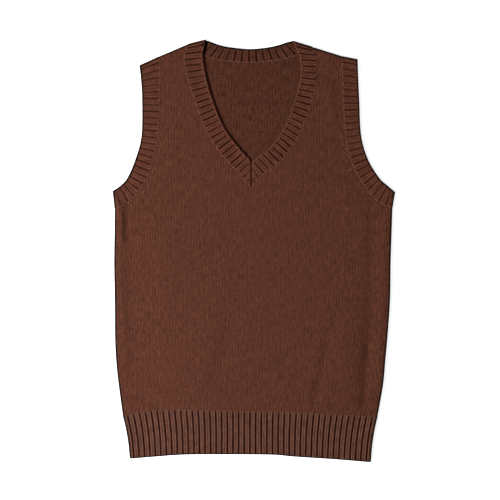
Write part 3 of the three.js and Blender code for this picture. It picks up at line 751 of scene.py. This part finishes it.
# The three parts run on from each other: the right one, which is laid from the mitre up, is
# turned round, and the back and right parts leave out the line shared with the one before.
neck_across = cross_steps(NECK_WIDTH, 3, 1)
neck_parts = []
first_rib = 0
for band, ribs, side, layer in (
    (left_neck, NECK_SIDE_RIBS, -1, FRONT),
    (back_neck, NECK_BACK_RIBS, 0, BACK),
    (right_neck, NECK_SIDE_RIBS, 1, FRONT),
):
    along, rib = rib_run(band, ribs, fold_start=side == 0, fold_end=True)
    if side:
        along[0] = MITRE_START
    reach = mitred(band, along, side) if side else np.ones(len(along))
    across = neck_across[:, None] * reach
    along = np.broadcast_to(along, across.shape)
    point = band.place(along, across)
    if side == 1:
        point, across, rib = point[:, ::-1], across[:, ::-1], ribs - rib[::-1]
    layers = np.full(across.shape, layer)
    rib = np.broadcast_to(rib + first_rib, across.shape)
    first_rib += ribs
    kept = slice(0, None) if side == -1 else slice(1, None)
    neck_parts.append([part[:, kept] for part in (point, layers, rib, across)])
neck_place, neck_layers, neck_rib, neck_shares = (np.hstack(part) for part in zip(*neck_parts))

# The mitre is a groove of its own, and the grooves near it are shallow.
from_mitre = np.where(neck_layers == BACK, np.inf, np.abs(neck_place[..., 0] - CENTRE_X))
mitre_left = 1 - np.exp(-((from_mitre / MITRE_GROOVE) ** 2))
calm = 1 - MITRE_SHALLOWER * np.exp(-((from_mitre / MITRE_CALM) ** 2))
neck_depth = groove_share(neck_shares, NECK_WIDTH, neck_rib) * calm

# The gap at the left shoulder gets painted shade: a dark wedge along the fold, which widens up to
# the shoulder.
edge_x = np.interp(neck_place[..., 1], left_neck.edge[:, 1], left_neck.edge[:, 0])
hollow_half = np.interp(neck_place[..., 1], (HOLLOW_FROM, left_neck.edge[-1, 1]), HOLLOW_HALF)
hollow = np.clip(hollow_half - np.abs(neck_place[..., 0] - edge_x), 0, 1)
hollow *= neck_place[..., 1] > HOLLOW_FROM

neckband = ribbed_strip(
    "neckband_knit", band_wool, neck_place, neck_layers, neck_rib, neck_shares, NECK_WIDTH,
    (neck_depth, mitre_left), neck_layers == BACK, (1, 1), hollow,
)
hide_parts("neckband")


# Armbands
# Each armband is a strip of ribbing linked round the armhole, up the front from the underarm,
# over the shoulder and down the back, with both ends in the side seam.

ARMBAND_RIBS = 24
ARMBAND_WIDTH = 27.0
ARMBAND_GROOVES = 0.8  # how deep its grooves are beside those of the neckband

arm_across = cross_steps(ARMBAND_WIDTH, 3, INNER_STRIDES[0])
for name, band in (("armband_left", left_armband), ("armband_right", right_armband)):
    along, rib = rib_run(band, ARMBAND_RIBS, True, True)
    along = np.r_[along, along[-2::-1]]
    layer = np.r_[np.full(len(rib), FRONT), np.full(len(rib) - 1, BACK)]
    rib = np.r_[rib, 2 * ARMBAND_RIBS - rib[-2::-1]]
    across_grid, along_grid = np.meshgrid(arm_across, along, indexing="ij")
    depth = ARMBAND_GROOVES * groove_share(across_grid, ARMBAND_WIDTH, rib)
    armband = ribbed_strip(
        name + "_knit", band_wool, band.place(along_grid, across_grid),
        np.broadcast_to(layer, across_grid.shape), np.broadcast_to(rib, across_grid.shape),
        across_grid, ARMBAND_WIDTH, (depth, 1), 1, INNER_STRIDES,
    )
    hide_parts(name)


# Linking chains and fashioning marks
# The bands are linked on loop by loop, which leaves a chain of small loops of yarn along their
# seams, and another closes the neckband's edge along the V. Where the armholes were narrowed,
# pairs of stitches lean on each other beside the seam.

LOOP_PITCH = 4.1  # from one loop of a chain to the next
LOOP = (3.3, 2.1, 1.4)  # length, width and height of a loop
LOOP_STRAY = 0.5  # how far loops lie off their line
LOOP_SWING = 0.35  # share by which loops are larger or smaller than that
SWING_WAVE, STRAY_WAVE = 4.3, 2.4  # radians from loop to loop of the waves in size and in place
LOOP_SIDES = 6  # points of each ring of a loop
LOOP_STITCH = (0.25, 0.92)  # wale and course of the place in a stitch whose tone a loop has
LOOP_SPREAD = 0.03  # how much of a stitch each millimetre of a loop takes in
MARK = (5.0, 1.7, 1.3)  # length, width and height of a fashioning mark
MARK_PITCH = 13.0
MARKS_FROM, MARKS_TO = 24.0, 150.0  # stretch of the armhole seam that has them
MARK_INSET = 7.5  # how far inside the seam they lie
MARK_LEAN = (0.55, -0.83)  # the way a mark on the left leans

# The same wool in single loops, which stand clear and are coloured a little lighter: painted light
# on their raised yarn.
link_wool = knitted("woollen_linking_yarn", yarn="#76493a", shade="#3a1e14", glint="#b98a76")


def beside_line(line, places, shift):
    """Places at lengths along a line, moved a little to its right, and the way it runs there."""
    lengths = lengths_along(line)
    at = [np.interp(places, lengths, line[:, k]) for k in (0, 1)]
    ahead = [np.interp(places + 1, lengths, line[:, k]) for k in (0, 1)]
    way = np.stack(ahead, axis=-1) - np.stack(at, axis=-1)
    way /= np.linalg.norm(way, axis=-1, keepdims=True)
    return np.stack(at, axis=-1) + shift * np.stack([way[:, 1], -way[:, 0]], axis=-1), way


def yarn_loops(name, centres, ways, normals, size):
    """Small loops of yarn in one mesh. Each is a ball of three rings between two poles, drawn out
    along its way and pressed down along its normal."""
    angle = 2 * np.pi * np.arange(LOOP_SIDES) / LOOP_SIDES
    slopes = np.pi * np.array([[0.25], [0.5], [0.75]])
    ring = np.stack(np.broadcast_arrays(
        np.cos(slopes), np.sin(slopes) * np.cos(angle), np.sin(slopes) * np.sin(angle),
    ), axis=-1).reshape(-1, 3)
    ball = np.vstack([[1, 0, 0], ring, [-1, 0, 0]]) * np.array(size) / 2
    this = 1 + np.arange(LOOP_SIDES)
    following = 1 + (np.arange(LOOP_SIDES) + 1) % LOOP_SIDES
    sides = np.stack([this, this + LOOP_SIDES, following + LOOP_SIDES, following], axis=-1)
    quads = np.vstack([sides, sides + LOOP_SIDES])
    last = np.full(LOOP_SIDES, len(ball) - 1)
    cap = 2 * LOOP_SIDES
    tips = np.vstack([
        np.stack([0 * this, this, following], axis=-1),
        np.stack([last, following + cap, this + cap], axis=-1),
    ])
    ways = ways - normals * (ways * normals).sum(axis=-1, keepdims=True)
    ways /= np.linalg.norm(ways, axis=-1, keepdims=True)
    axes = np.stack([ways, np.cross(normals, ways), normals], axis=1)
    swing = 1 + LOOP_SWING * np.sin(SWING_WAVE * np.arange(len(centres)))
    points = centres[:, None] + swing[:, None, None] * np.einsum("vk,nkc->nvc", ball, axes)
    first = (np.arange(len(centres)) * len(ball))[:, None, None]
    faces = (first + quads).reshape(-1, 4).tolist() + (first + tips).reshape(-1, 3).tolist()
    mesh = bpy.data.meshes.new(name)
    mesh.from_pydata((points.reshape(-1, 3) * MM).tolist(), [], faces)
    mesh.polygons.foreach_set("use_smooth", np.ones(len(faces), bool))
    corners = np.empty(len(mesh.loops), int)
    mesh.loops.foreach_get("vertex_index", corners)
    uv = np.tile(np.array(LOOP_STITCH) + LOOP_SPREAD * ball[:, :2], (len(centres), 1))
    mesh.uv_layers.new(name="stitches").data.foreach_set("uv", uv[corners].ravel())
    ridge = mesh.attributes.new("ridge", "FLOAT", "POINT")
    ridge.data.foreach_set("value", np.ones(len(mesh.vertices), np.float32))
    mesh.materials.append(link_wool)
    piece = bpy.data.objects.new(name, mesh)
    bpy.context.collection.objects.link(piece)
    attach(piece, "root")


def chain(name, lines, layer, lift):
    """A chain of loops along lines, `lift` above the outer face of a layer. Each line comes with
    how far the chain lies to its right. Sine waves move and size the loops a little."""
    rows = []
    for line, shift in lines:
        places = np.arange(LOOP_PITCH, lengths_along(line)[-1] - LOOP_PITCH, LOOP_PITCH)
        rows.append(beside_line(line, places, shift))
    spots, ways = (np.vstack(part) for part in zip(*rows))
    stray = LOOP_STRAY * np.sin(STRAY_WAVE * np.arange(len(spots)))
    spots = spots + stray[:, None] * np.stack([ways[:, 1], -ways[:, 0]], axis=-1)
    place, normal, _ = on_layer(spots[:, 0], spots[:, 1], layer)
    ways = np.column_stack([ways, np.zeros(len(ways))])
    yarn_loops(name, place + normal * lift, ways, normal, LOOP)


LOOP_SHIFT = 0.6  # how far a chain lies on the panel's side of its seam
LOOP_LIFT = 0.45  # how far the middle of a loop lies above the panel
CAST_OFF_SHIFT = 1.6  # how far the chain that casts off the neckband lies inside its edge
CAST_OFF_LIFT = 1.35  # how far the middle of its loops lies above the band's grooves
BACK_CHAIN_LIFT = -CLOTH - 0.3  # how far under the back's outer face its inner chain lies
FREE_ENDS = 8  # points at each end of the back's seam that have no chain

chain("neck_linking_chain", [
    (left_neck.seam, -LOOP_SHIFT), (right_neck.seam, LOOP_SHIFT),
], FRONT, LOOP_LIFT)
chain("back_neck_linking_chain", [
    (back_neck.seam[FREE_ENDS:-FREE_ENDS], LOOP_SHIFT),
], BACK, BACK_CHAIN_LIFT)
chain("neck_cast_off_chain", [
    (left_neck.edge[left_neck.edge[:, 0] < CENTRE_X], -CAST_OFF_SHIFT),
    (right_neck.edge[right_neck.edge[:, 0] > CENTRE_X], CAST_OFF_SHIFT),
], FRONT, CAST_OFF_LIFT)
chain("armhole_linking_chains", [
    (left_armband.seam, LOOP_SHIFT), (right_armband.seam, -LOOP_SHIFT),
], FRONT, LOOP_LIFT)

mark_places = np.arange(MARKS_FROM, MARKS_TO, MARK_PITCH)
for name, band, side in (("left", left_armband, 1), ("right", right_armband, -1)):
    spots, _ = beside_line(band.seam, mark_places, side * MARK_INSET)
    place, normal, _ = on_layer(spots[:, 0], spots[:, 1], FRONT)
    leaning = np.tile([side * MARK_LEAN[0], MARK_LEAN[1], 0.0], (len(spots), 1))
    yarn_loops("fashioning_marks_" + name, place + normal * LOOP_LIFT, leaning, normal, MARK)


# Floor, light and camera
# A plain white studio floor that glows a little, as a lit table does, a soft light on the left, a
# weaker one on the right, a small cool one close by on the left, and a camera that looks straight
# down on the whole vest.

FLOOR_HALF = 6.0  # half the side of the floor
FLOOR_GLOW = 0.75
ROOM_LIGHT = 0.2

# Opal acrylic lit from below: an even white that keeps only faint shadows.
floor_mesh = bpy.data.meshes.new("studio_floor")
corners = [(-FLOOR_HALF, -FLOOR_HALF, 0), (FLOOR_HALF, -FLOOR_HALF, 0)]
corners += [(FLOOR_HALF, FLOOR_HALF, 0), (-FLOOR_HALF, FLOOR_HALF, 0)]
floor_mesh.from_pydata(corners, [], [(0, 1, 2, 3)])
floor = bpy.data.objects.new("studio_floor", floor_mesh)
bpy.context.collection.objects.link(floor)
opal = bpy.data.materials.new("lit_opal_acrylic")
opal.use_nodes = True
opal_inputs = opal.node_tree.nodes["Principled BSDF"].inputs
opal_inputs["Base Color"].default_value = linear("#f4f4f3")
opal_inputs["Roughness"].default_value = 0.9
opal_inputs["Emission Color"].default_value = (1.0, 1.0, 1.0, 1.0)
opal_inputs["Emission Strength"].default_value = FLOOR_GLOW
floor_mesh.materials.append(opal)

world = bpy.data.worlds.new("studio")
world.use_nodes = True
room = world.node_tree.nodes["Background"].inputs
room["Color"].default_value = (1.0, 1.0, 1.0, 1.0)
room["Strength"].default_value = ROOM_LIGHT
bpy.context.scene.world = world


def soft_light(name, place, size, power, colour="#ffffff"):
    """A square area light of a size in metres and a power in watts, aimed at the middle of the
    floor."""
    data = bpy.data.lights.new(name, "AREA")
    data.size = size
    data.energy = power
    data.color = linear(colour)[:3]
    light = bpy.data.objects.new(name, data)
    light.location = place
    light.rotation_euler = (-light.location).to_track_quat("-Z", "Y").to_euler()
    bpy.context.collection.objects.link(light)


soft_light("key", (-1.25, -0.35, 1.35), 0.35, 44)
soft_light("fill", (2.2, 0.4, 2.6), 1.8, 8)
soft_light("window", (-0.62, -0.25, 0.45), 0.4, 1.5, "#b0c6ff")

VIEW_WIDTH = 0.781  # what the photograph's width takes in at the height of the vest
VIEW_CENTRE = (-0.00603, 0.00094)  # the point under the middle of the photograph
CAMERA_HEIGHT = 3.0  # above the face of the front
SENSOR = 36.0  # width of the camera's sensor, in millimetres as its lens is
camera_data = bpy.data.cameras.new("camera")
camera_data.sensor_width = SENSOR
camera_data.lens = SENSOR * CAMERA_HEIGHT / VIEW_WIDTH
camera = bpy.data.objects.new("camera", camera_data)
camera.location = (*VIEW_CENTRE, CAMERA_HEIGHT + FRONT_LEVEL * MM)
bpy.context.collection.objects.link(camera)
bpy.context.scene.camera = camera
bpy.context.scene.view_settings.view_transform = "Standard"
